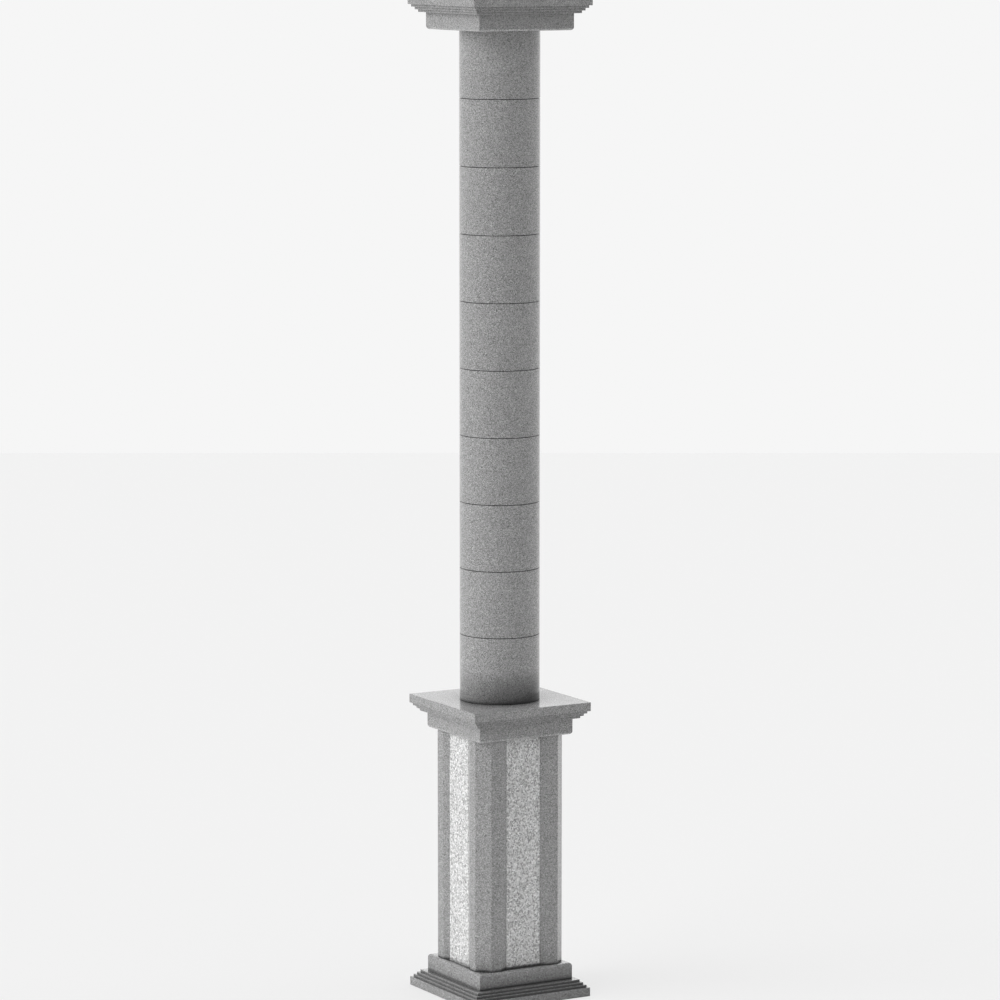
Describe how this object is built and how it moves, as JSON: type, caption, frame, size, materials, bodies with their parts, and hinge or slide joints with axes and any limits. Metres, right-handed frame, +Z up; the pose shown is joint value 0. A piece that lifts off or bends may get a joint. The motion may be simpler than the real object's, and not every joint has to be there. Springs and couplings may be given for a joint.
{
  "type": "doric column",
  "caption": "Plain round granite column with a stepped square capital, standing on a square pedestal whose chamfered die carries recessed pale panels.",
  "frame": {"origin": "centre of the plinth's square underside, at floor level", "axes": "+Z up along the shaft's axis; the square faces look along -Y (front), +X (right), +Y (back) and -X (left)"},
  "size_m": [0.6, 0.6, 4.5],
  "materials": {
    "dark_granite": "polished mid-grey granite with a fine salt-and-pepper grain",
    "light_granite": "pale grey granite with a matt, textured face"
  },
  "bodies": {
    "root": {"plinth": "dark_granite", "pedestal_die": "dark_granite", "panel_front": "light_granite", "panel_right": "light_granite", "panel_back": "light_granite", "panel_left": "light_granite", "pedestal_cap": "dark_granite", "drum_1": "dark_granite", "drum_2": "dark_granite", "drum_3": "dark_granite", "drum_4": "dark_granite", "drum_5": "dark_granite", "drum_6": "dark_granite", "drum_7": "dark_granite", "drum_8": "dark_granite", "drum_9": "dark_granite", "drum_10": "dark_granite", "capital": "dark_granite"}
  },
  "joints": []
}
